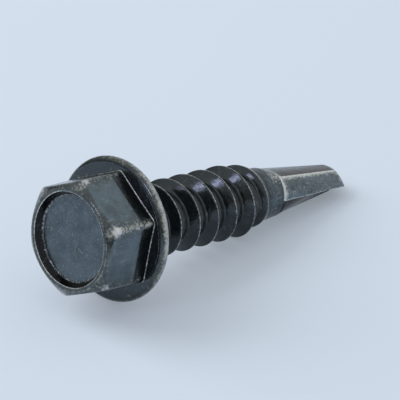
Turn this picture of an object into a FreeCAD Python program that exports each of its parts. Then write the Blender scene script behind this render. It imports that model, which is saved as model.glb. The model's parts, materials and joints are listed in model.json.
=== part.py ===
import FreeCAD, Part
import math
import os
from FreeCAD import Vector

# A self-drilling sheet metal screw: a hexagon head with a washer flange, a coarse
# tapping thread and a two-lipped drill point, cold-formed from one piece of wire.
# The screw is made standing on its axis, with the flange's bearing face at height 0,
# the head above it and the shank below, and is then laid down as it comes to rest.

# Hexagon head
hexagon_across_flats = 8.02
hexagon_draft_degrees = 1.2
hexagon_corner_radius = 0.45
head_height = 4.86
head_chamfer_start_radius = 3.72
head_chamfer_degrees = 38.0
head_edge_radius = 0.22

# Dished recess in the top of the head
recess_rim_radius = 3.44
recess_depth = 0.55
recess_wall_degrees = 28.0

# Washer flange
flange_radius = 5.26
flange_thickness = 0.76
flange_rise = 0.12

# Shank; at the bearing face its neck is just wider than the thread, so that what the screw
# holds down, with a hole that clears the thread, seats flat on the face
shank_radius = 2.0
shank_length = 15.65
neck_clearance = 0.05
neck_length = 0.5
shoulder_chamfer = 0.05

# Thread: one start, right hand
thread_radius = 2.75
thread_pitch = 1.948
thread_crest_width = 0.1
thread_half_angle_degrees = 30.0
thread_sink = 0.2
thread_start_below_flange = 0.45
thread_rise_length = 0.8
thread_end_above_shoulder = 1.3
thread_fall_length = 1.5

# Drill point: two lands, each a broad face from the cutting edge to a crease and a pinched
# facet from the crease to the heel, and two flutes, which deepen towards the tip. Angles are
# from the cutting edge, and a loss is how much nearer to the axis than that edge a line is.
point_radius = 2.05
point_length = 8.15
land_bulge = 0.06
crease_degrees_at_shoulder = 53.0
crease_loss_at_shoulder = 0.02
crease_degrees_at_tip = 50.0
crease_loss_at_tip = 1.16
facet_bulge_at_shoulder = 0.14
heel_degrees_at_shoulder = 123.0
heel_loss_at_shoulder = 0.18
heel_degrees_at_tip = 117.0
heel_loss_at_tip = 1.2
flute_middle_degrees = 150.0
web_radius = 0.55
tip_half_angle_degrees = 59.0
lip_relief_degrees = 17.0

# Where the crest is one pitch below the flange, and where a cutting lip is, round the axis
# from a corner of the hexagon
thread_turn_degrees = -46.7
point_turn_degrees = -25.0

# The side of the screw that faces the ground when it lies at rest
ground_side_degrees = -115.0

# How far shapes that are trimmed or merged afterwards run past the finished metal
overrun = 1.0
point_overrun = 0.3

part_name = "screw"


def around(radius, degrees, height=0.0):
    """The place at a distance from the axis, at an angle round it and at a height."""
    angle = math.radians(degrees)
    return Vector(radius * math.cos(angle), radius * math.sin(angle), height)


def in_profile(radius, height):
    """A corner of a profile that is turned round the axis."""
    return Vector(radius, 0, height)


def turned(profile_edges):
    """The solid that a closed half profile makes when it is turned round the axis."""
    face = Part.Face(Part.Wire(profile_edges))
    return face.revolve(Vector(0, 0, 0), Vector(0, 0, 1), 360)


def polyline(points):
    """Straight edges through the points and back to the first."""
    return Part.makePolygon(points + [points[0]]).Edges


def hexagon_corners(across_flats, height):
    """The corners of a hexagon, the first one on the X axis."""
    corner_radius = across_flats / math.sqrt(3)
    return [around(corner_radius, 60 * side, height) for side in range(6)]


def hexagon_prism():
    """The hexagon from the bearing face to above the top, a little narrower at the top."""
    top = head_height + overrun
    narrowing = 2 * top * math.tan(math.radians(hexagon_draft_degrees))
    lower = hexagon_corners(hexagon_across_flats, 0)
    upper = hexagon_corners(hexagon_across_flats - narrowing, top)
    outlines = [lower[::-1], upper]
    for side in range(6):
        after = (side + 1) % 6
        outlines.append([lower[side], lower[after], upper[after], upper[side]])
    faces = [Part.Face(Part.makePolygon(outline + [outline[0]])) for outline in outlines]
    prism = Part.Solid(Part.Shell(faces))
    upright = [edge for edge in prism.Edges if edge.BoundBox.ZLength > top / 2]
    return prism.makeFillet(hexagon_corner_radius, upright)


def head_envelope():
    """The turned outline that chamfers the hexagon's corners and rounds the top rim."""
    slope = math.tan(math.radians(head_chamfer_degrees))
    outer = hexagon_across_flats / math.sqrt(3) + overrun
    chamfer_end = head_height - (outer - head_chamfer_start_radius) * slope
    points = [
        in_profile(0, 0),
        in_profile(outer, 0),
        in_profile(outer, chamfer_end),
        in_profile(head_chamfer_start_radius, head_height),
        in_profile(0, head_height),
    ]
    envelope = turned(polyline(points))
    rim = [edge for edge in envelope.Edges if is_circle_at(edge, head_chamfer_start_radius, head_height)]
    return envelope.makeFillet(head_edge_radius, rim)


def is_circle_at(edge, radius, height):
    """Whether an edge is a whole circle round the axis with this radius and height."""
    if not edge.isClosed():
        return False
    box = edge.BoundBox
    tolerance = 1e-3
    same_height = abs(box.ZMax - height) < tolerance and abs(box.ZMin - height) < tolerance
    return same_height and abs(box.XMax - radius) < tolerance


def recess():
    """The dished space in the top of the head, with a sloping wall."""
    slope = math.tan(math.radians(recess_wall_degrees))
    floor_height = head_height - recess_depth
    floor_radius = recess_rim_radius - recess_depth * slope
    points = [
        in_profile(0, floor_height),
        in_profile(floor_radius, floor_height),
        in_profile(recess_rim_radius + overrun * slope, head_height + overrun),
        in_profile(0, head_height + overrun),
    ]
    return turned(polyline(points))


def washer_flange():
    """The round flange: flat below, a fully rounded rim, and a top that rises to the hexagon."""
    rim_radius = flange_thickness / 2
    rim_centre = flange_radius - rim_radius
    inner = hexagon_across_flats / 2 - overrun
    edges = [
        Part.LineSegment(in_profile(0, 0), in_profile(rim_centre, 0)).toShape(),
        Part.Arc(
            in_profile(rim_centre, 0),
            in_profile(flange_radius, rim_radius),
            in_profile(rim_centre, flange_thickness),
        ).toShape(),
        Part.LineSegment(
            in_profile(rim_centre, flange_thickness), in_profile(inner, flange_thickness + flange_rise)
        ).toShape(),
        Part.LineSegment(
            in_profile(inner, flange_thickness + flange_rise), in_profile(0, flange_thickness + flange_rise)
        ).toShape(),
        Part.LineSegment(in_profile(0, flange_thickness + flange_rise), in_profile(0, 0)).toShape(),
    ]
    return turned(edges)


def head():
    """The hexagon with its chamfer and recess, standing on the washer flange."""
    hexagon = hexagon_prism().common(head_envelope()).cut(recess())
    return hexagon.fuse(washer_flange())


def shank():
    """The plain round core of the thread, from the neck to the shoulder of the drill point."""
    inside_flange = flange_thickness / 2
    neck_radius = thread_radius + neck_clearance
    points = [
        in_profile(0, inside_flange),
        in_profile(neck_radius, inside_flange),
        in_profile(neck_radius, 0),
        in_profile(shank_radius, -neck_length),
        in_profile(shank_radius, shoulder_chamfer - shank_length),
        in_profile(shank_radius - shoulder_chamfer, -shank_length),
        in_profile(0, -shank_length),
    ]
    return turned(polyline(points))


def thread_sweep():
    """The thread's ridge at its full height, swept along the axis past both of its ends."""
    slope = math.tan(math.radians(thread_half_angle_degrees))
    foot_radius = shank_radius - thread_sink
    crest_half_width = thread_crest_width / 2
    foot_half_width = crest_half_width + (thread_radius - foot_radius) * slope
    section = polyline([
        in_profile(foot_radius, -foot_half_width),
        in_profile(thread_radius, -crest_half_width),
        in_profile(thread_radius, crest_half_width),
        in_profile(foot_radius, foot_half_width),
    ])
    turns_below_flange = math.ceil(shank_length / thread_pitch)
    turns_above_flange = 1
    sweep_height = (turns_below_flange + turns_above_flange) * thread_pitch
    helix = Part.makeHelix(thread_pitch, sweep_height, shank_radius)
    ridge = Part.Wire(helix.Edges).makePipeShell([Part.Wire(section)], True, True)
    ridge.translate(Vector(0, 0, -turns_below_flange * thread_pitch))
    ridge.rotate(Vector(0, 0, 0), Vector(0, 0, 1), thread_turn_degrees)
    return ridge


def thread_envelope():
    """The turned outline inside which the thread rises from the shank and runs out again."""
    sunk = shank_radius - thread_sink / 2
    outside = thread_radius + thread_sink
    rise = (outside - sunk) / (thread_radius - sunk)
    top = -thread_start_below_flange
    bottom = thread_end_above_shoulder - shank_length
    points = [
        in_profile(0, top),
        in_profile(sunk, top),
        in_profile(outside, top - thread_rise_length * rise),
        in_profile(outside, bottom + thread_fall_length * rise),
        in_profile(sunk, bottom),
        in_profile(0, bottom),
    ]
    return turned(polyline(points))


def thread_ridge():
    """The thread's ridge between its two ends, which sink into the shank."""
    return thread_sweep().common(thread_envelope())


def between(first, last, share):
    """A value that goes from the first to the last as the share goes from 0 to 1."""
    return first + (last - first) * share


def bulged(start, end, bulge):
    """A smooth edge between two places that stands out from the straight line by the bulge."""
    outwards = Vector(start.x + end.x, start.y + end.y, 0).normalize()
    middle = (start + end) / 2 + outwards * bulge
    curve = Part.BSplineCurve()
    curve.interpolate([start, middle, end])
    return curve.toShape()


def round_bulge(start, end):
    """How far a round face about the axis stands out from the straight line between two places."""
    middle = (start + end) / 2
    return (math.hypot(start.x, start.y) + math.hypot(end.x, end.y)) / 2 - math.hypot(middle.x, middle.y)


def point_section(height, share):
    """The outline of the drill point at a height; the share is 0 at the shoulder and 1 at the tip."""
    crease_radius = point_radius - between(crease_loss_at_shoulder, crease_loss_at_tip, share)
    crease_degrees = between(crease_degrees_at_shoulder, crease_degrees_at_tip, share)
    heel_radius = point_radius - between(heel_loss_at_shoulder, heel_loss_at_tip, share)
    heel_degrees = between(heel_degrees_at_shoulder, heel_degrees_at_tip, share)
    flute_radius = between(shank_radius, web_radius, share)
    edges = []
    for half in (0, 180):
        turn = point_turn_degrees + half
        cutting_edge = around(point_radius, turn, height)
        crease = around(crease_radius, turn + crease_degrees, height)
        heel = around(heel_radius, turn + heel_degrees, height)
        flute_middle = around(flute_radius, turn + flute_middle_degrees, height)
        next_edge = around(point_radius, turn + 180, height)
        edges.append(bulged(cutting_edge, crease, between(round_bulge(cutting_edge, crease), land_bulge, share)))
        edges.append(bulged(crease, heel, between(facet_bulge_at_shoulder, 0, share)))
        flute = Part.BSplineCurve()
        flute.interpolate([heel, flute_middle, next_edge])
        edges.append(flute.toShape())
    return Part.Wire(edges)


def tip_cone(lean_degrees):
    """A wide cone with its end at the tip, leaned over about the line of the cutting lips.

    Its seam lies in the half that the cone leaned the other way cuts off.
    """
    reach = 3 * point_radius
    depth = reach / math.tan(math.radians(tip_half_angle_degrees))
    tip_height = -shank_length - point_length
    points = [
        in_profile(0, tip_height),
        in_profile(reach, tip_height + depth),
        in_profile(reach, tip_height + depth + 2 * point_length),
        in_profile(0, tip_height + depth + 2 * point_length),
    ]
    cone = turned(polyline(points))
    seam_degrees = point_turn_degrees + math.copysign(90, lean_degrees)
    cone.rotate(Vector(0, 0, tip_height), Vector(0, 0, 1), seam_degrees)
    cone.rotate(Vector(0, 0, tip_height), around(1, point_turn_degrees), lean_degrees)
    return cone


def drill_point():
    """The lands and flutes, running down from the shoulder and ground to two cutting lips."""
    upper = point_section(-shank_length, 0)
    lower = point_section(-shank_length - point_length - point_overrun, 1)
    body = Part.makeLoft([upper, lower], True, True)
    body = body.common(tip_cone(lip_relief_degrees))
    return body.common(tip_cone(-lip_relief_degrees))


def screw():
    """The whole screw as one solid, standing on its axis."""
    core = head().fuse(shank()).fuse(drill_point())
    return core.fuse(thread_ridge()).removeSplitter()


def lowest(points, tilt_degrees):
    """The height of the lowest point when the axis is level and then tipped down by the tilt."""
    tilt = math.radians(tilt_degrees)
    return min(point.x * math.cos(tilt) + point.z * math.sin(tilt) for point in points)


def resting_tilt(solid):
    """The tilt at which the flange's rim and the shank end both touch the ground."""
    mesh_step = 0.02
    points = solid.tessellate(mesh_step)[0]
    head_points = [point for point in points if point.z > 0]
    shank_points = [point for point in points if point.z < 0]
    low = 0.0
    high = 45.0
    halvings = 40
    for _ in range(halvings):
        middle = (low + high) / 2
        if lowest(head_points, middle) < lowest(shank_points, middle):
            low = middle
        else:
            high = middle
    return (low + high) / 2


def laid_down(solid):
    """The screw as it lies: the flange's rim and the drill point on the ground, tip towards +X."""
    solid.rotate(Vector(0, 0, 0), Vector(0, 0, 1), 180 - ground_side_degrees)
    tilt = resting_tilt(solid)
    solid.rotate(Vector(0, 0, 0), Vector(0, 1, 0), tilt - 90)
    box = solid.BoundBox
    bearing_face = Vector(-(box.XMin + box.XMax) / 2, -(box.YMin + box.YMax) / 2, -box.ZMin)
    solid.translate(bearing_face)
    print("centre of the bearing face, mm", [round(value, 4) for value in bearing_face])
    print("tilt of the axis at rest, degrees", round(tilt, 4))
    return solid


def main():
    """Makes the screw, lays it down and writes it out."""
    os.makedirs("parts", exist_ok=True)
    whole = laid_down(screw())
    print("valid", whole.isValid(), "solids", len(whole.Solids), "volume", round(whole.Volume, 2))
    print("box", whole.BoundBox)
    whole.exportStep("parts/" + part_name + ".step")


main()
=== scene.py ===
import json
import math

import bpy
from mathutils import Matrix, Quaternion, Vector


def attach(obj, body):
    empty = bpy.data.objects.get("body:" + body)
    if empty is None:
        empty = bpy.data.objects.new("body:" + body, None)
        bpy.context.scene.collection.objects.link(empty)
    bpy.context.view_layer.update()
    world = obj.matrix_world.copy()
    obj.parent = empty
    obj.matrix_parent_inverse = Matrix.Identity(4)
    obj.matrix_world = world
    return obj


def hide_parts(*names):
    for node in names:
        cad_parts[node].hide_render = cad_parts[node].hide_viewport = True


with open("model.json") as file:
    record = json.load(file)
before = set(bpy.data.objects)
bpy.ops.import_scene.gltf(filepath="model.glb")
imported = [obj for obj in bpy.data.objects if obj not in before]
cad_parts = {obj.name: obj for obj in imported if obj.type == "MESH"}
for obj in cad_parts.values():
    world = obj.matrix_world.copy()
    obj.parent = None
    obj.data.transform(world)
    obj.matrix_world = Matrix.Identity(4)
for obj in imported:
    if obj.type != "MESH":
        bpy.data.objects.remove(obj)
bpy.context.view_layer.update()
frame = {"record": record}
scene = bpy.context.scene
scene.view_settings.view_transform = "Standard"

# The camera
# A long lens looks down past the head, so the screw lies across the square picture from the
# head at the lower left to the drill point at the upper right.
picture_pixels = 400
focal_length_pixels = 3000
camera_azimuth_degrees = -135.992
camera_elevation_degrees = 27.108
camera_roll_degrees = -0.519
camera_distance = 0.218312
camera_aim = Vector((-0.000521, 0.0, 0.004165))

azimuth = math.radians(camera_azimuth_degrees)
elevation = math.radians(camera_elevation_degrees)
towards_camera = Vector((
    math.cos(elevation) * math.cos(azimuth),
    math.cos(elevation) * math.sin(azimuth),
    math.sin(elevation),
))
camera_data = bpy.data.cameras.new("camera")
camera_data.lens = camera_data.sensor_width * focal_length_pixels / picture_pixels
camera_data.clip_start = 0.01
camera = bpy.data.objects.new("camera", camera_data)
camera.location = camera_aim + towards_camera * camera_distance
camera_roll = Quaternion((0, 0, 1), math.radians(camera_roll_degrees))
camera.rotation_euler = (towards_camera.to_track_quat("Z", "Y") @ camera_roll).to_euler()
scene.collection.objects.link(camera)
scene.camera = camera

# The bench
# A sheet of pale blue-white card, matt and without a mark, on which the screw lies. It runs far
# enough that it fills the picture from every side. What the camera and the metal see of it is
# part its own colour, so the shadow stays soft and pale.
bench_colour = "#CCD6E1"
bench_roughness = 0.9
bench_glow = 0.35
bench_reach = 1.5


def linear(hex_colour):
    """The linear colour that an sRGB hex value stands for."""
    channels = [int(hex_colour[place:place + 2], 16) / 255 for place in (1, 3, 5)]
    return [c / 12.92 if c <= 0.04045 else ((c + 0.055) / 1.055) ** 2.4 for c in channels] + [1.0]


def add_node(tree, kind, settings=None, **inputs):
    """Adds a node with its settings, and sets or links its inputs by name or, as in_0, by place."""
    node = tree.nodes.new(kind)
    for name, value in (settings or {}).items():
        setattr(node, name, value)
    for name, value in inputs.items():
        if name.startswith("in_"):
            socket = node.inputs[int(name[3:])]
        else:
            socket = node.inputs[name.replace("_", " ")]
        if isinstance(value, bpy.types.NodeSocket):
            tree.links.new(value, socket)
        else:
            socket.default_value = value
    return node


def new_material(name):
    """An empty node material, its node tree and the place that its shader is linked to."""
    material = bpy.data.materials.new(name)
    material.use_nodes = True
    tree = material.node_tree
    tree.nodes.clear()
    output = tree.nodes.new("ShaderNodeOutputMaterial")
    return material, tree, output.inputs["Surface"]


card, tree, card_surface = new_material("matt_card")
matt = add_node(
    tree, "ShaderNodeBsdfPrincipled", Base_Color=linear(bench_colour), Roughness=bench_roughness,
)
plain = add_node(tree, "ShaderNodeEmission", Color=linear(bench_colour), Strength=1.0)
path = add_node(tree, "ShaderNodeLightPath").outputs
seen = add_node(
    tree, "ShaderNodeMath", {"operation": "MAXIMUM"},
    in_0=path["Is Camera Ray"], in_1=path["Is Glossy Ray"],
)
glow = add_node(tree, "ShaderNodeMath", {"operation": "MULTIPLY"}, in_0=seen.outputs[0], in_1=bench_glow)
shader = add_node(
    tree, "ShaderNodeMixShader",
    Fac=glow.outputs[0], in_1=matt.outputs["BSDF"], in_2=plain.outputs["Emission"],
)
tree.links.new(shader.outputs["Shader"], card_surface)
bench_mesh = bpy.data.meshes.new("bench")
corners = [(-1, -1), (1, -1), (1, 1), (-1, 1)]
bench_mesh.from_pydata([(x * bench_reach, y * bench_reach, 0) for x, y in corners], [], [(0, 1, 2, 3)])
bench_mesh.materials.append(card)
bench = bpy.data.objects.new("bench", bench_mesh)
scene.collection.objects.link(bench)

# The light
# A pale room gives most of the light. It is brightest overhead, and darker low down behind the
# screw than at the right. A wide soft lamp to the left and a little behind throws the shadow and
# isn't mirrored by the metal, and a small one nearer the head puts lilac lights on the thread.
room_colour = "#F2F6FA"
bright_side_degrees = -35.0
side_fade_from = -0.4
side_fade_to = 0.6
low_strength = 0.22
side_strength = 0.72
overhead_strength = 0.76
overhead_height = 0.7

world = bpy.data.worlds.new("room")
world.use_nodes = True
tree = world.node_tree
direction = add_node(tree, "ShaderNodeTexCoord").outputs["Generated"]
upwards = add_node(tree, "ShaderNodeSeparateXYZ", Vector=direction).outputs["Z"]
bright_side = math.radians(bright_side_degrees)
sideways = add_node(
    tree, "ShaderNodeVectorMath", {"operation": "DOT_PRODUCT"},
    in_0=direction, in_1=(math.cos(bright_side), math.sin(bright_side), 0.0),
)
low = add_node(
    tree, "ShaderNodeMapRange", {"interpolation_type": "SMOOTHSTEP"},
    Value=sideways.outputs["Value"], From_Min=side_fade_from, From_Max=side_fade_to,
    To_Min=low_strength, To_Max=side_strength,
)
strength = add_node(
    tree, "ShaderNodeMapRange", {"interpolation_type": "SMOOTHSTEP"},
    Value=upwards, From_Min=0.0, From_Max=overhead_height,
    To_Min=low.outputs["Result"], To_Max=overhead_strength,
)
tree.nodes["Background"].inputs["Color"].default_value = linear(room_colour)
tree.links.new(strength.outputs["Result"], tree.nodes["Background"].inputs["Strength"])
scene.world = world


def add_lamp(name, azimuth_degrees, elevation_degrees, distance, width, power, colour):
    """A square lamp that faces the screw from a direction and a distance."""
    azimuth = math.radians(azimuth_degrees)
    elevation = math.radians(elevation_degrees)
    direction = Vector((
        math.cos(elevation) * math.cos(azimuth),
        math.cos(elevation) * math.sin(azimuth),
        math.sin(elevation),
    ))
    data = bpy.data.lights.new(name, "AREA")
    data.size = width
    data.energy = power
    data.color = linear(colour)[:3]
    lamp = bpy.data.objects.new(name, data)
    lamp.location = direction * distance
    lamp.rotation_euler = direction.to_track_quat("Z", "Y").to_euler()
    scene.collection.objects.link(lamp)
    return lamp


wide_lamp = add_lamp(
    "wide_lamp", azimuth_degrees=110, elevation_degrees=34, distance=0.6, width=0.5, power=3.4,
    colour="#FAFAFF",
)
wide_lamp.visible_glossy = False
add_lamp(
    "small_lamp", azimuth_degrees=175, elevation_degrees=35.5, distance=0.6, width=0.11, power=0.28,
    colour="#DEDAFF",
)

# The screw's frame
# The screw is worked out standing on its axis, in millimetres, with the bearing face at height 0
# and a corner of the hexagon at angle 0. The bearing face in the frame says where its axis lies.
millimetre = 0.001
bearing_mount_radius = 3.6
ground_side_degrees = -115.0

bearing = next(m for m in frame["record"]["mounts"] if m["name"] == "bearing_face")
down_axis = Vector(bearing["axis"]).normalized()
tilt = math.asin(-down_axis.z)
up_across = Vector((math.sin(tilt), 0, math.cos(tilt)))
bearing_centre = Vector(bearing["pos_m"]) - up_across * bearing_mount_radius * millimetre
laid_down = (
    Matrix.Translation(bearing_centre)
    @ Matrix.Rotation(tilt - math.pi / 2, 4, "Y")
    @ Matrix.Rotation(math.radians(180 - ground_side_degrees), 4, "Z")
    @ Matrix.Scale(millimetre, 4)
)

# The columns
# All round the screw its surface is worked out along the same columns, closer together where
# the hexagon's corners are and where the drill point has its edges, creases and heels.
point_turn_degrees = -25.0
crease_degrees_at_shoulder = 53.0
heel_degrees_at_shoulder = 123.0
corner_reach_degrees = 5.5
corner_step_degrees = 0.9
plain_step_degrees = 2.4
line_gap_degrees = 0.7
line_clearance_degrees = 1.12


def column_angles():
    """The angles of the columns, from one hexagon corner all the way round."""
    angles = []
    corner_steps = round(corner_reach_degrees / corner_step_degrees)
    plain_steps = round((60 - 2 * corner_reach_degrees) / plain_step_degrees)
    for side in range(6):
        for step in range(-corner_steps, corner_steps):
            angles.append(60 * side + corner_reach_degrees * step / corner_steps)
        for step in range(plain_steps):
            angles.append(
                60 * side + corner_reach_degrees + (60 - 2 * corner_reach_degrees) * step / plain_steps
            )
    first, last = angles[0], angles[0] + 360
    for line in (0, crease_degrees_at_shoulder, heel_degrees_at_shoulder):
        for half in (0, 180):
            here = (point_turn_degrees + line + half - first) % 360 + first
            angles = [angle for angle in angles if abs(angle - here) > line_clearance_degrees]
            angles += [here - line_gap_degrees, here, here + line_gap_degrees]
    assert first <= min(angles) and max(angles) < last
    return sorted(angles)


columns = column_angles()


def eased(count):
    """Shares from 0 to 1, without the two ends, that crowd towards both ends."""
    return [0.5 - 0.5 * math.cos(math.pi * step / (count + 1)) for step in range(1, count + 1)]


# Each part of the surface has its look: how slate-blue its skin is, how grainy it is, how far it is
# rubbed to olive grey and how far painted shade darkens it towards near-black.
recess_floor = Vector((0.64, 0.25, 0.0, 0.0))
# The recess wall is painted near-black as shade.
recess_wall = Vector((0.0, 0.0, 0.0, 0.85))
head_top = Vector((0.3, 0.3, 0.5, 0.0))
hexagon_flat = Vector((1.05, 0.15, 0.0, 0.0))
# The foot of each flat is painted dark as a reflection of the dark flange.
hexagon_foot = Vector((0.0, 0.1, 0.0, 0.4))
flange_face = Vector((0.12, 0.1, 0.0, 0.0))
flange_rim = Vector((0.2, 0.4, 1.0, 0.0))
# The thread and the plain shank are darkened a little by the same painted shade.
rolled_thread = Vector((0.05, 0.0, 0.0, 0.08))
plain_shank = Vector((0.65, 0.55, 0.0, 0.12))
point_land = Vector((1.05, 0.68, 0.12, 0.0))
# The point's upper facet is painted dark as shade, most of all at its foot by the crease.
point_facet = Vector((0.35, 0.2, 0.0, 0.7))
point_facet_foot = Vector((0.0, 0.2, 0.5, 0.85))
# The flutes are painted a little darker as shade.
point_flute = Vector((0.0, 0.3, 0.0, 0.15))


def rounded_path(corners, start_look):
    """The points along a path with rounded corners: radius, height, wear and painted highlight, and look.

    A corner is (radius, height, rounding, points on the round, points on the run before it, wear and
    painted highlight of the corner, look of the run before it).
    """
    path = [(corners[0][0], corners[0][1], 0.0, start_look)]
    previous = Vector(corners[0][:2])
    for place in range(1, len(corners)):
        here = Vector(corners[place][:2])
        rounding, round_points, run_points, wear_and_highlight, look = corners[place][2:]
        look_after = look
        if place + 1 < len(corners) and rounding > 0:
            look_after = corners[place + 1][6]
            before = (Vector(corners[place - 1][:2]) - here).normalized()
            after = (Vector(corners[place + 1][:2]) - here).normalized()
            half_angle = before.angle(after) / 2
            cut = rounding / math.tan(half_angle)
            first, last = here + before * cut, here + after * cut
            centre = here + (before + after).normalized() * rounding / math.sin(half_angle)
            shares = [step / (round_points - 1) for step in range(round_points)]
            arc = [centre + (first.lerp(last, share) - centre).normalized() * rounding for share in shares]
            weights = [math.sin(math.pi * (step + 0.5) / round_points) for step in range(round_points)]
        else:
            first, arc, weights, shares = here, [here], [1.0], [0.5]
        for share in eased(run_points):
            spot = previous.lerp(first, share)
            path.append((spot.x, spot.y, 0.0, look))
        for spot, weight, share in zip(arc, weights, shares):
            path.append((spot.x, spot.y, wear_and_highlight * weight, look.lerp(look_after, share)))
        previous = arc[-1]
    return path


# The hexagon head
# Cold-formed in a die from the wire's end: six flats with rounded upright corners and a slight
# draft, a turned-looking chamfer round the top and a round dished recess with a sloping wall.
across_flats = 8.02
draft_degrees = 1.2
corner_rounding = 0.45
head_height = 4.86
chamfer_start_radius = 3.72
chamfer_degrees = 38.0
recess_rim_radius = 3.44
recess_depth = 0.55
recess_wall_degrees = 28.0
recess_foot_rounding = 0.16
recess_rim_rounding = 0.07
top_rounding = 0.18
chamfer_rounding = 0.24
hexagon_foot_rounding = 0.07
# The recess's concave foot gets a bright line that is a painted highlight.
recess_foot_highlight = 0.35
recess_rim_wear = 0.75
top_wear = 0.25
chamfer_wear = 0.08
# The hexagon's concave foot on the flange gets a bright line that is a painted highlight.
hexagon_foot_highlight = 0.55
# Up to this height above the flange, the flats are painted dark as a reflection of the flange.
painted_reflection_height = 1.1
# The upper flat's edge is rubbed most, and each corner by its own share: a worn patch where the
# chamfer starts, a smaller painted highlight near the foot, and less wear along the run between them.
upper_flat_degrees = 90.0
upper_flat_reach_degrees = 32.0
upper_flat_wear = 0.35
corner_rubbing = (1.0, 0.6, 0.8, 0.5, 0.9, 0.45)
corner_wear_degrees = 5.5
corner_wear_share = 0.9
corner_run_share = 0.35
corner_patch = 0.35
foot_highlight_share = 0.5
foot_highlight_height = 0.5
foot_highlight_reach = 0.4
corner_olive_share = 0.85
corner_olive_degrees = 7.0


def hexagon_radius(degrees, height):
    """How far the hexagon's side is from the axis at an angle and a height."""
    apothem = across_flats / 2 - height * math.tan(math.radians(draft_degrees))
    from_corner = math.radians(abs((degrees + 30) % 60 - 30))
    centre = (apothem - corner_rounding) / math.cos(math.radians(30))
    tangent = math.atan2(
        corner_rounding * math.sin(math.radians(30)),
        centre + corner_rounding * math.cos(math.radians(30)),
    )
    if from_corner < tangent:
        across = centre * math.sin(from_corner)
        return centre * math.cos(from_corner) + math.sqrt(corner_rounding ** 2 - across ** 2)
    return apothem / math.cos(math.radians(30) - from_corner)


def chamfer_foot(degrees):
    """The radius and height at which the chamfer runs out on the hexagon's side."""
    slope = math.tan(math.radians(chamfer_degrees))
    height = head_height
    for _ in range(20):
        radius = hexagon_radius(degrees, height)
        height = head_height - (radius - chamfer_start_radius) * slope
    return radius, height


# The washer flange
# Upset in the same stroke as the hexagon: flat below, a fully rounded rim, and a top that rises
# a little to the hexagon.
flange_radius = 5.26
flange_thickness = 0.76
flange_rise = 0.12
flange_rise_inner_radius = across_flats / 2 - 1
flange_line_inset = 0.1
flange_line_wear = 1.1
flange_rim_wear = 0.25
flange_rim_points = 15
rubbed_side_reach_degrees = 55.0


def flange_top(radius):
    """The height of the flange's top at a radius."""
    rim_centre = flange_radius - flange_thickness / 2
    share = (rim_centre - radius) / (rim_centre - flange_rise_inner_radius)
    return flange_thickness + flange_rise * min(max(share, 0), 1)


# The shank
# The wire's own diameter, with a short cone at the neck. The thread is rolled on it between
# flat dies, so its crest is pressed up out of the metal and its ends fade into the shank.
shank_radius = 2.0
shank_length = 15.65
neck_radius = 2.8
neck_length = 0.5
neck_rounding = 0.12
shoulder_chamfer = 0.05

thread_radius = 2.75
thread_pitch = 1.948
thread_crest_width = 0.1
thread_half_angle_degrees = 30.0
thread_sink = 0.2
thread_start_below_flange = 0.45
thread_rise_length = 0.8
thread_end_above_shoulder = 0.9
thread_fall_length = 2.6
thread_turn_degrees = -46.7
root_rounding = 0.12
crest_rounding = 0.045
crest_edge_wear = 0.4
crest_wear = 0.85
plain_start_above_end = 0.9
plain_fade = 0.6
row_clearance = 0.02


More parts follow.
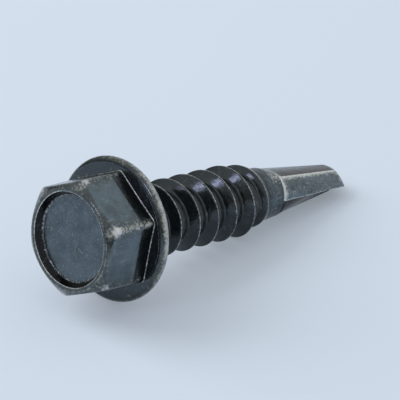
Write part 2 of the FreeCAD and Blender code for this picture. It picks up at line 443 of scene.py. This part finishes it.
def head_path(degrees):
    """The head's outline at an angle, from the middle of the recess to the neck."""
    side_radius, side_height = chamfer_foot(degrees)
    foot_radius = hexagon_radius(degrees, flange_thickness)
    foot_height = flange_top(foot_radius)
    floor = head_height - recess_depth
    floor_radius = recess_rim_radius - recess_depth * math.tan(math.radians(recess_wall_degrees))
    rim = flange_thickness / 2
    rim_centre = flange_radius - rim
    line_radius = rim_centre - flange_line_inset
    from_corner = abs((degrees + 30) % 60 - 30)
    corner_share = corner_rubbing[round(degrees / 60) % 6]
    corner_wear = corner_share * math.exp(-(from_corner / corner_wear_degrees) ** 2)
    from_upper_flat = (degrees - upper_flat_degrees) / upper_flat_reach_degrees
    edge_wear = max(
        chamfer_wear + upper_flat_wear * math.exp(-from_upper_flat ** 2),
        chamfer_wear + corner_wear_share * corner_wear,
    )
    from_rubbed_side = (degrees + 180) % 360 - 180
    rubbed_side = math.exp(-(from_rubbed_side / rubbed_side_reach_degrees) ** 2)
    # From here down to the foot, the flats are painted dark as a reflection of the flange.
    dark_height = foot_height + painted_reflection_height
    dark_radius = hexagon_radius(degrees, dark_height)
    corner_olive = corner_olive_share * math.exp(-(from_corner / corner_olive_degrees) ** 2)
    flat_look = hexagon_flat.lerp(head_top, corner_olive)
    line_height = flange_top(line_radius)
    path = rounded_path([
        (0, floor),
        (floor_radius, floor, recess_foot_rounding, 5, 12, recess_foot_highlight, recess_floor),
        (recess_rim_radius, head_height, recess_rim_rounding, 5, 5, recess_rim_wear, recess_wall),
        (chamfer_start_radius, head_height, top_rounding, 5, 3, top_wear, head_top),
        (side_radius, side_height, chamfer_rounding, 7, 6, edge_wear, head_top),
        (dark_radius, dark_height, 0, 1, 16, 0.0, flat_look),
        (foot_radius, foot_height, hexagon_foot_rounding, 4, 10, hexagon_foot_highlight, hexagon_foot),
        (line_radius, line_height, 0, 1, 10, flange_line_wear * rubbed_side, flange_face),
        (rim_centre, flange_thickness, 0, 1, 2, 0.1, flange_face),
    ], recess_floor)
    for step in range(1, flange_rim_points):
        angle = math.pi / 2 - math.pi * step / (flange_rim_points - 1)
        outwards = math.cos(angle)
        path.append((
            rim_centre + rim * outwards,
            rim + rim * math.sin(angle),
            flange_rim_wear * (1 + rubbed_side) * max(outwards, 0) ** 3,
            flange_face.lerp(flange_rim, outwards ** 2),
        ))
    path += rounded_path([
        (rim_centre, 0),
        (neck_radius, 0, neck_rounding, 4, 10, 0.0, flange_face),
        (shank_radius, -neck_length, 0, 1, 3, 0.0, rolled_thread),
    ], flange_face)[1:]
    chamfer_place = Vector((side_radius, side_height))
    for place, (radius, height, wear_and_highlight, look) in enumerate(path):
        if foot_height + 0.1 < height < head_height and radius > chamfer_start_radius:
            from_chamfer = (Vector((radius, height)) - chamfer_place).length
            # The patch by the chamfer is worn; the one near the foot is a painted highlight.
            from_foot = height - foot_height - foot_highlight_height
            rub_and_highlight_patch = (
                math.exp(-(from_chamfer / corner_patch) ** 2)
                + foot_highlight_share * math.exp(-(from_foot / foot_highlight_reach) ** 2)
            )
            rubbed = corner_wear * (corner_run_share + (1 - corner_run_share) * rub_and_highlight_patch)
            path[place] = (radius, height, max(wear_and_highlight, rubbed), look)
    return path


def crest_height(degrees):
    """The height of one turn of the thread's crest at an angle."""
    return thread_pitch * (degrees - thread_turn_degrees) / 360


def thread_profile():
    """The rows of one pitch, from the middle of a root over the crest: offset, radius, wear."""
    slope = math.tan(math.radians(thread_half_angle_degrees))
    crest_half = thread_crest_width / 2
    foot_half = crest_half + (thread_radius - shank_radius) * slope
    half = rounded_path([
        (thread_pitch / 2, shank_radius),
        (foot_half, shank_radius, root_rounding, 4, 3, 0.0, rolled_thread),
        (crest_half, thread_radius, crest_rounding, 3, 4, crest_edge_wear, rolled_thread),
        (0, thread_radius, 0, 1, 0, crest_wear, rolled_thread),
    ], rolled_thread)
    rows = [(-offset, radius, wear_and_highlight) for offset, radius, wear_and_highlight, look in half]
    rows += [(offset, radius, wear_and_highlight) for offset, radius, wear_and_highlight, look in half[-2:0:-1]]
    return rows


def thread_limit(height):
    """The radius inside which the thread has risen, or is left, at a height."""
    sunk = shank_radius - thread_sink / 2
    top = -thread_start_below_flange
    bottom = thread_end_above_shoulder - shank_length
    risen = sunk + (top - height) / thread_rise_length * (thread_radius - sunk)
    left = sunk + (height - bottom) / thread_fall_length * (thread_radius - sunk)
    return max(shank_radius, min(risen, left))


# The drill point
# Pinched between two dies and ground: two lands, each a broad face from the cutting edge to a
# crease and a narrower facet from there to the heel, and between them two flutes that deepen
# towards the tip. Two leaned cones make the cutting lips.
point_radius = 2.05
point_length = 8.15
point_overrun = 0.3
land_bulge = 0.06
crease_loss_at_shoulder = 0.02
crease_degrees_at_tip = 50.0
crease_loss_at_tip = 1.16
facet_bulge_at_shoulder = 0.14
heel_loss_at_shoulder = 0.18
heel_degrees_at_tip = 117.0
heel_loss_at_tip = 1.2
flute_middle_degrees = 150.0
web_radius = 0.55
tip_half_angle_degrees = 59.0
lip_relief_degrees = 17.0
shoulder_step = 0.03
pinch_rows = 5
scuff_degrees = 32.0
scuff_reach_degrees = 16.0
scuff_wear = 0.4
wall_rows = 40
end_rows = 12
facet_foot_share = 0.4545
# The shoulder's edge is worn, and painted bright as a highlight.
shoulder_wear_and_highlight = (1.0, 0.5, 0.2)
edge_wear_degrees = 1.5
edge_wear_share = 0.5
# The crease is painted bright along its length as a highlight.
crease_highlight = 0.8
crease_highlight_degrees = {"land": 8.0, "facet": 1.6}
end_wear = 0.5
end_wear_reach = 0.03
ground_wear = 0.2


def around(radius, degrees):
    """The place at a distance from the axis and an angle round it."""
    angle = math.radians(degrees)
    return Vector((radius * math.cos(angle), radius * math.sin(angle)))


def between(first, last, share):
    """A value that goes from the first to the last as the share goes from 0 to 1."""
    return first + (last - first) * share


def through(start, middle, end, share):
    """The place on a smooth curve through three places, at a share of the way along it."""
    mark = (middle - start).length / ((middle - start).length + (end - middle).length)
    return (
        start * (share - mark) * (share - 1) / mark
        + middle * share * (share - 1) / (mark * (mark - 1))
        + end * share * (share - mark) / (1 - mark)
    )


def bulged(start, end, bulge, share):
    """The place on a curve that stands out from a straight line by the bulge."""
    middle = (start + end) / 2
    return through(start, middle + (start + end).normalized() * bulge, end, share)


def round_bulge(start, end):
    """How far a round face about the axis stands out from the line between two places."""
    return (start.length + end.length) / 2 - ((start + end) / 2).length


def point_end(degrees, tip):
    """The drill point's outline at a column, at the shoulder or below the tip."""
    turn = (degrees - point_turn_degrees) % 360
    start = point_turn_degrees + 180 * (turn // 180)
    turn %= 180
    crease_radius = point_radius - (crease_loss_at_tip if tip else crease_loss_at_shoulder)
    crease_degrees = crease_degrees_at_tip if tip else crease_degrees_at_shoulder
    heel_radius = point_radius - (heel_loss_at_tip if tip else heel_loss_at_shoulder)
    heel_degrees = heel_degrees_at_tip if tip else heel_degrees_at_shoulder
    flute_radius = web_radius if tip else shank_radius
    cutting_edge = around(point_radius, start)
    crease = around(crease_radius, start + crease_degrees)
    heel = around(heel_radius, start + heel_degrees)
    if turn < crease_degrees_at_shoulder:
        bulge = land_bulge if tip else round_bulge(cutting_edge, crease)
        return bulged(cutting_edge, crease, bulge, turn / crease_degrees_at_shoulder)
    if turn < heel_degrees_at_shoulder:
        facet = heel_degrees_at_shoulder - crease_degrees_at_shoulder
        bulge = 0 if tip else facet_bulge_at_shoulder
        return bulged(crease, heel, bulge, (turn - crease_degrees_at_shoulder) / facet)
    flute_middle = around(flute_radius, start + flute_middle_degrees)
    flute = 180 - heel_degrees_at_shoulder
    next_edge = around(point_radius, start + 180)
    return through(heel, flute_middle, next_edge, (turn - heel_degrees_at_shoulder) / flute)


point_ends = {degrees: (point_end(degrees, False), point_end(degrees, True)) for degrees in columns}


def point_outline(degrees, share):
    """The drill point's surface at a column; the share is 0 at the shoulder and 1 below the tip."""
    at_shoulder, below_tip = point_ends[degrees]
    return at_shoulder.lerp(below_tip, share)


def tip_height(place):
    """The height of the ground tip above or below a place in plan."""
    lips = around(1, point_turn_degrees)
    across = Vector((-lips.y, lips.x))
    spread = math.cos(math.radians(tip_half_angle_degrees)) ** 2
    heights = []
    for lean in (math.radians(lip_relief_degrees), -math.radians(lip_relief_degrees)):
        sideways = place.dot(across) * -math.sin(lean)
        upright = math.cos(lean)
        a = upright ** 2 - spread
        b = upright * sideways
        c = sideways ** 2 - spread * place.length_squared
        heights.append((-b + math.sqrt(max(b * b - a * c, 0))) / a)
    return max(heights) - shank_length - point_length


def ground_share(degrees):
    """The share of the point's length at which a column meets the ground tip."""
    low, high = 0.0, 1.0
    for _ in range(30):
        share = (low + high) / 2
        height = -shank_length - (point_length + point_overrun) * share
        if height > tip_height(point_outline(degrees, share)):
            low = share
        else:
            high = share
    return low


class Surface:
    """The points and faces of the screw, gathered while it is worked out from head to tip."""

    def __init__(self):
        self.points = []
        self.wear_and_highlight = []
        self.looks = []
        self.residue = []
        self.faces = []

    def add(self, x, y, height, wear_and_highlight, look, residue=0.0):
        """Adds a point and gives its number."""
        self.points.append((x, y, height))
        self.wear_and_highlight.append(wear_and_highlight)
        self.looks.append(look)
        self.residue.append(residue)
        return len(self.points) - 1

    def ring(self, spots):
        """Adds one point for each column."""
        return [self.add(*spot) for spot in spots]

    def band(self, upper, lower):
        """Joins two rings, the second one further along the surface."""
        for here in range(len(columns)):
            after = (here + 1) % len(columns)
            self.faces.append((upper[here], lower[here], lower[after], upper[after]))

    def cap(self, ring, middle, outwards):
        """Closes a ring with triangles to a point in its middle."""
        for here in range(len(columns)):
            after = (here + 1) % len(columns)
            corners = (ring[here], middle, ring[after]) if outwards else (ring[after], middle, ring[here])
            self.faces.append(corners)


def add_head(surface):
    """Adds the head, the flange and the neck, and gives the last ring."""
    paths = [head_path(degrees) for degrees in columns]
    middle = surface.add(0, 0, paths[0][0][1], 0.0, recess_floor)
    above = None
    for row in range(1, len(paths[0])):
        spots = []
        for degrees, path in zip(columns, paths):
            radius, height, wear_and_highlight, look = path[row]
            place = around(radius, degrees)
            spots.append((place.x, place.y, height, wear_and_highlight, look))
        ring = surface.ring(spots)
        if above is None:
            surface.cap(ring, middle, False)
        else:
            surface.band(above, ring)
        above = ring
    return above


def add_thread(surface, top_ring):
    """Adds the thread's turns below a ring, and gives the ring under their end."""
    rows = thread_profile()
    top = -neck_length
    bottom = thread_end_above_shoulder - shank_length
    bottom_ring = surface.ring([
        (*around(shank_radius, degrees), bottom, 0.0, plain_shank) for degrees in columns
    ])
    turns = math.ceil(shank_length / thread_pitch) + 1
    ladders = []
    for degrees in columns:
        ladder = {}
        for turn in range(-turns, 2):
            for row, (offset, radius, wear_and_highlight) in enumerate(rows):
                height = crest_height(degrees) + turn * thread_pitch + offset
                if bottom + row_clearance < height < top - row_clearance:
                    place = around(min(radius, thread_limit(height)), degrees)
                    plain = min(max((bottom + plain_start_above_end - height) / plain_fade, 0), 1)
                    look = rolled_thread.lerp(plain_shank, plain)
                    depth = (thread_radius - radius) / (thread_radius - shank_radius)
                    point = surface.add(place.x, place.y, height, wear_and_highlight, look, (1 - plain) * depth)
                    ladder[turn * len(rows) + row] = point
        ladders.append(ladder)
    for here in range(len(columns)):
        after = (here + 1) % len(columns)
        left = ladders[here]
        right = ladders[after]
        if after == 0:
            right = {row - len(rows): point for row, point in right.items()}
        shared = sorted(set(left) & set(right))
        for low, high in zip(shared, shared[1:]):
            surface.faces.append((left[high], left[low], right[low], right[high]))
        left_above = [left[row] for row in sorted(left, reverse=True) if row > shared[-1]]
        right_above = [right[row] for row in sorted(right) if row > shared[-1]]
        surface.faces.append((
            top_ring[here], *left_above, left[shared[-1]],
            right[shared[-1]], *right_above, top_ring[after],
        ))
        left_below = [left[row] for row in sorted(left, reverse=True) if row < shared[0]]
        right_below = [right[row] for row in sorted(right) if row < shared[0]]
        surface.faces.append((
            left[shared[0]], *left_below, bottom_ring[here],
            bottom_ring[after], *right_below, right[shared[0]],
        ))
    return bottom_ring


def point_look(turn):
    """The look of the drill point's surface at an angle from the cutting edge before it."""
    if turn < crease_degrees_at_shoulder:
        return point_land
    if turn < heel_degrees_at_shoulder:
        facet = heel_degrees_at_shoulder - crease_degrees_at_shoulder
        share = (turn - crease_degrees_at_shoulder) / facet
        return point_facet_foot.lerp(point_facet, min(share / facet_foot_share, 1))
    return point_flute


def point_wear_and_highlight(turn, share_left, row, stands_out):
    """How far the drill point is worn, and painted bright as a highlight, at an angle from the cutting edge
    and a share from its end.
    """
    from_edge = min(turn, 180 - turn)
    from_crease = turn - crease_degrees_at_shoulder
    crease_reach = crease_highlight_degrees["land" if from_crease < 0 else "facet"]
    return max(
        edge_wear_share * math.exp(-(from_edge / edge_wear_degrees) ** 2),
        crease_highlight * math.exp(-(from_crease / crease_reach) ** 2),
        end_wear * math.exp(-(share_left / end_wear_reach) ** 2),
        shoulder_wear_and_highlight[row] if stands_out and row < len(shoulder_wear_and_highlight) else 0,
    )


def add_point(surface, ring):
    """Adds the plain end of the shank, the shoulder and the drill point below a ring."""
    pinched_radii = [
        min(shank_radius, point_outline(degrees, 0).length + shoulder_step) for degrees in columns
    ]
    start = thread_end_above_shoulder - shank_length
    end = shoulder_chamfer - shank_length
    scuffs = [
        scuff_wear * math.exp(-((degrees - scuff_degrees) / scuff_reach_degrees) ** 2) for degrees in columns
    ]
    for share in eased(pinch_rows) + [1.0]:
        height = between(start, end, share)
        pinch = share * share * (3 - 2 * share)
        below = surface.ring([
            (*around(between(shank_radius, pinched, pinch), degrees), height, scuff, plain_shank)
            for degrees, pinched, scuff in zip(columns, pinched_radii, scuffs)
        ])
        surface.band(ring, below)
        ring = below
    stands_out = [(degrees - point_turn_degrees) % 180 < heel_degrees_at_shoulder for degrees in columns]
    # The shoulder's edge, where the lands stand out, is worn and painted bright as a highlight.
    below = surface.ring([
        (*around(pinched - shoulder_chamfer, degrees), -shank_length, float(out), plain_shank)
        for degrees, pinched, out in zip(columns, pinched_radii, stands_out)
    ])
    surface.band(ring, below)
    ring = below
    ends = [ground_share(degrees) for degrees in columns]
    length = point_length + point_overrun
    for row in range(wall_rows + 1):
        spots = []
        for degrees, last, out in zip(columns, ends, stands_out):
            share = last * row / wall_rows
            place = point_outline(degrees, share)
            turn = (degrees - point_turn_degrees) % 180
            wear_and_highlight = point_wear_and_highlight(turn, 1 - row / wall_rows, row, out)
            spots.append((place.x, place.y, -shank_length - length * share, wear_and_highlight, point_look(turn)))
        below = surface.ring(spots)
        surface.band(ring, below)
        ring = below
    for row in range(1, end_rows):
        spots = []
        for degrees, last in zip(columns, ends):
            place = point_outline(degrees, last) * (1 - row / end_rows)
            spots.append((place.x, place.y, tip_height(place), ground_wear, point_land))
        below = surface.ring(spots)
        surface.band(ring, below)
        ring = below
    tip = surface.add(0, 0, tip_height(Vector((0, 0))), ground_wear, point_land)
    surface.cap(ring, tip, True)


surface = Surface()
add_point(surface, add_thread(surface, add_head(surface)))
screw_mesh = bpy.data.meshes.new("sheet_metal_screw")
screw_mesh.from_pydata([laid_down @ Vector(spot) for spot in surface.points], [], surface.faces)
screw_mesh.validate()
# The edge_wear attribute holds wear and painted highlights alike.
wear_and_highlight_layer = screw_mesh.attributes.new("edge_wear", "FLOAT", "POINT")
wear_and_highlight_layer.data.foreach_set("value", surface.wear_and_highlight)
residue_layer = screw_mesh.attributes.new("root_residue", "FLOAT", "POINT")
residue_layer.data.foreach_set("value", surface.residue)
# The look's fourth part is painted shade.
look_layer = screw_mesh.attributes.new("look_and_painted_shade", "FLOAT_COLOR", "POINT")
look_layer.data.foreach_set("color", [value for look in surface.looks for value in look])
for face in screw_mesh.polygons:
    face.use_smooth = True
screw = bpy.data.objects.new("sheet_metal_screw", screw_mesh)
scene.collection.objects.link(screw)

# Black oxide on carbon steel
# The screw is dipped after it is rolled, which leaves a thin dark skin: near-black and glossy on
# the thread, slate and a little cloudy on the flats, grainy where the dies have pinched the point.
# Handling rubs it to olive grey on the rims and wears it through to bright steel on the edges. The
# real grain and specks are finer, and are drawn as coarse as they need to be to show.
# Painted shade darkens the recess wall, the point's facet and flutes, and a little of the thread and shank,
# and a painted reflection of the flange darkens the flats' foot. Painted highlights in bright steel mark the
# concave feet of the recess and the hexagon, a corner's foot, the shoulder and the crease.
oxide_black = "#404547"
oxide_slate = "#69767D"
oxide_olive = "#6C7064"
pit_and_shade_black = "#1E1F22"
root_brown = "#655D4E"
scratch_grey = "#8F999D"
bright_steel_and_highlight = "#E2E3DE"
metallic_share = 0.93
cloud_mm = 1.1
mottle_mm = 0.45
grain_mm = 0.16
speck_mm = 0.17
ripple_mm = 0.6
scratch_mm = 1.6
scratch_stretch = 7.0
scratch_turn = (0.0, 0.9, 0.6)
ripple_depth_mm = 0.02
grain_depth_mm = 0.012
# Each spread is the two values of a pattern between which it takes effect, and what it then gives.
slate_spread = (0.3, 0.7, 0.55, 1.15)
scratch_spread = (0.68, 0.76, 0.0, 0.5)
olive_spread = (0.35, 0.65, 0.0, 1.0)
brown_spread = (0.5, 0.7, 0.0, 0.4)
pit_spread = (0.46, 0.34, 0.0, 0.55)
speck_spread = (0.25, 0.75, -0.25, 0.32)
mottle_spread = (0.3, 0.7, -0.07, 0.07)
bare_spread = (0.2, 1.1, 0.0, 1.0)
gloss_spread = (0.3, 0.7, 0.12, 0.2)
grain_everywhere = 0.15
rubbed_wear = 0.1
grainy_wear = 0.2
polish = 0.7
grainy_roughness = 0.22
bare_roughness = 0.22


def per_millimetre(size):
    """The scale of a pattern, in a frame in metres, whose features are this many millimetres wide."""
    return 1 / (size * millimetre)


def add_noise(tree, place, size, detail, roughness=0.5):
    """A cloudy noise with features of a size in millimetres."""
    noise = add_node(
        tree, "ShaderNodeTexNoise", None,
        Vector=place, Scale=per_millimetre(size), Detail=detail, Roughness=roughness,
    )
    return noise.outputs["Fac"]


def add_step(tree, value, spread):
    """A value carried smoothly from one range to another and kept inside it."""
    low, high, to_low, to_high = spread
    step = add_node(
        tree, "ShaderNodeMapRange", {"interpolation_type": "SMOOTHSTEP"},
        Value=value, From_Min=low, From_Max=high, To_Min=to_low, To_Max=to_high,
    )
    return step.outputs["Result"]


def add_math(tree, operation, first, second):
    """The result of one sum on two values."""
    return add_node(tree, "ShaderNodeMath", {"operation": operation}, in_0=first, in_1=second).outputs[0]


def add_mix(tree, share, first, second):
    """Two colours mixed by a share."""
    mix = add_node(tree, "ShaderNodeMix", {"data_type": "RGBA"}, in_0=share, in_6=first, in_7=second)
    return mix.outputs[2]


oxide, tree, surface_socket = new_material("black_oxide_steel")
place = add_node(tree, "ShaderNodeTexCoord").outputs["Object"]
wear_and_highlight = add_node(tree, "ShaderNodeAttribute", {"attribute_name": "edge_wear"}).outputs["Fac"]
residue = add_node(tree, "ShaderNodeAttribute", {"attribute_name": "root_residue"}).outputs["Fac"]
look = add_node(tree, "ShaderNodeAttribute", {"attribute_name": "look_and_painted_shade"}).outputs
parts = add_node(tree, "ShaderNodeSeparateXYZ", None, Vector=look["Vector"]).outputs
slate, grainy, rubbed = parts["X"], parts["Y"], parts["Z"]
# The look's fourth part is painted shade.
painted_shade = look["Alpha"]
clouds = add_noise(tree, place, cloud_mm, 3.0)
mottle = add_noise(tree, place, mottle_mm, 3.0, 0.6)
grain = add_noise(tree, place, grain_mm, 2.0, 0.7)
specks = add_noise(tree, place, speck_mm, 1.0, 0.6)

cloudy_slate = add_math(tree, "MULTIPLY", slate, add_step(tree, clouds, slate_spread))
skin = add_mix(tree, cloudy_slate, linear(oxide_black), linear(oxide_slate))
along_scratch = add_node(
    tree, "ShaderNodeMapping", None,
    Vector=place, Rotation=scratch_turn, Scale=(1.0, scratch_stretch, scratch_stretch),
).outputs["Vector"]
scratches = add_step(tree, add_noise(tree, along_scratch, scratch_mm, 1.0), scratch_spread)
skin = add_mix(tree, add_math(tree, "MULTIPLY", scratches, slate), skin, linear(scratch_grey))
olive_share = add_math(tree, "MULTIPLY", rubbed, add_step(tree, mottle, olive_spread))
skin = add_mix(tree, olive_share, skin, linear(oxide_olive))
brown_share = add_math(tree, "MULTIPLY", residue, add_step(tree, mottle, brown_spread))
skin = add_mix(tree, brown_share, skin, linear(root_brown))
grainy_skin = add_math(tree, "ADD", grainy, grain_everywhere)
pits = add_math(tree, "MULTIPLY", grainy_skin, add_step(tree, grain, pit_spread))
skin = add_mix(tree, pits, skin, linear(pit_and_shade_black))
# Painted shade darkens the skin towards near-black.
skin = add_mix(tree, painted_shade, skin, linear(pit_and_shade_black))

worn_and_highlight = add_math(tree, "ADD", wear_and_highlight, add_math(tree, "MULTIPLY", rubbed, rubbed_wear))
worn_and_highlight = add_math(tree, "ADD", worn_and_highlight, add_math(tree, "MULTIPLY", grainy, grainy_wear))
polished = add_math(tree, "MULTIPLY", add_math(tree, "MAXIMUM", rubbed, wear_and_highlight), polish)
speckling = add_math(tree, "SUBTRACT", 1.0, polished)
speckles = add_math(tree, "MULTIPLY", speckling, add_step(tree, specks, speck_spread))
ragged = add_math(tree, "ADD", worn_and_highlight, speckles)
ragged = add_math(tree, "ADD", ragged, add_step(tree, mottle, mottle_spread))
# Bright steel shows where the skin is worn through and where highlights are painted.
bare_and_highlight = add_step(tree, ragged, bare_spread)
colour = add_mix(tree, bare_and_highlight, skin, linear(bright_steel_and_highlight))

dull = add_math(tree, "MULTIPLY", grainy, grainy_roughness)
skin_roughness = add_math(tree, "ADD", dull, add_step(tree, mottle, gloss_spread))
roughness = add_math(tree, "ADD", skin_roughness, add_math(tree, "MULTIPLY", bare_and_highlight, bare_roughness))
ripple = add_noise(tree, place, ripple_mm, 2.0)
ripple_relief = add_math(tree, "MULTIPLY", ripple, ripple_depth_mm * millimetre)
grain_depth = add_math(tree, "MULTIPLY", grainy_skin, grain_depth_mm * millimetre)
grain_relief = add_math(tree, "MULTIPLY", grain, grain_depth)
relief = add_math(tree, "ADD", ripple_relief, grain_relief)
bump = add_node(tree, "ShaderNodeBump", None, Strength=1.0, Distance=1.0, Height=relief)
shader = add_node(
    tree, "ShaderNodeBsdfPrincipled", None,
    Base_Color=colour, Metallic=metallic_share, Roughness=roughness, Normal=bump.outputs["Normal"],
)
tree.links.new(shader.outputs["BSDF"], surface_socket)
screw_mesh.materials.append(oxide)

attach(screw, "root")
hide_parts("screw")
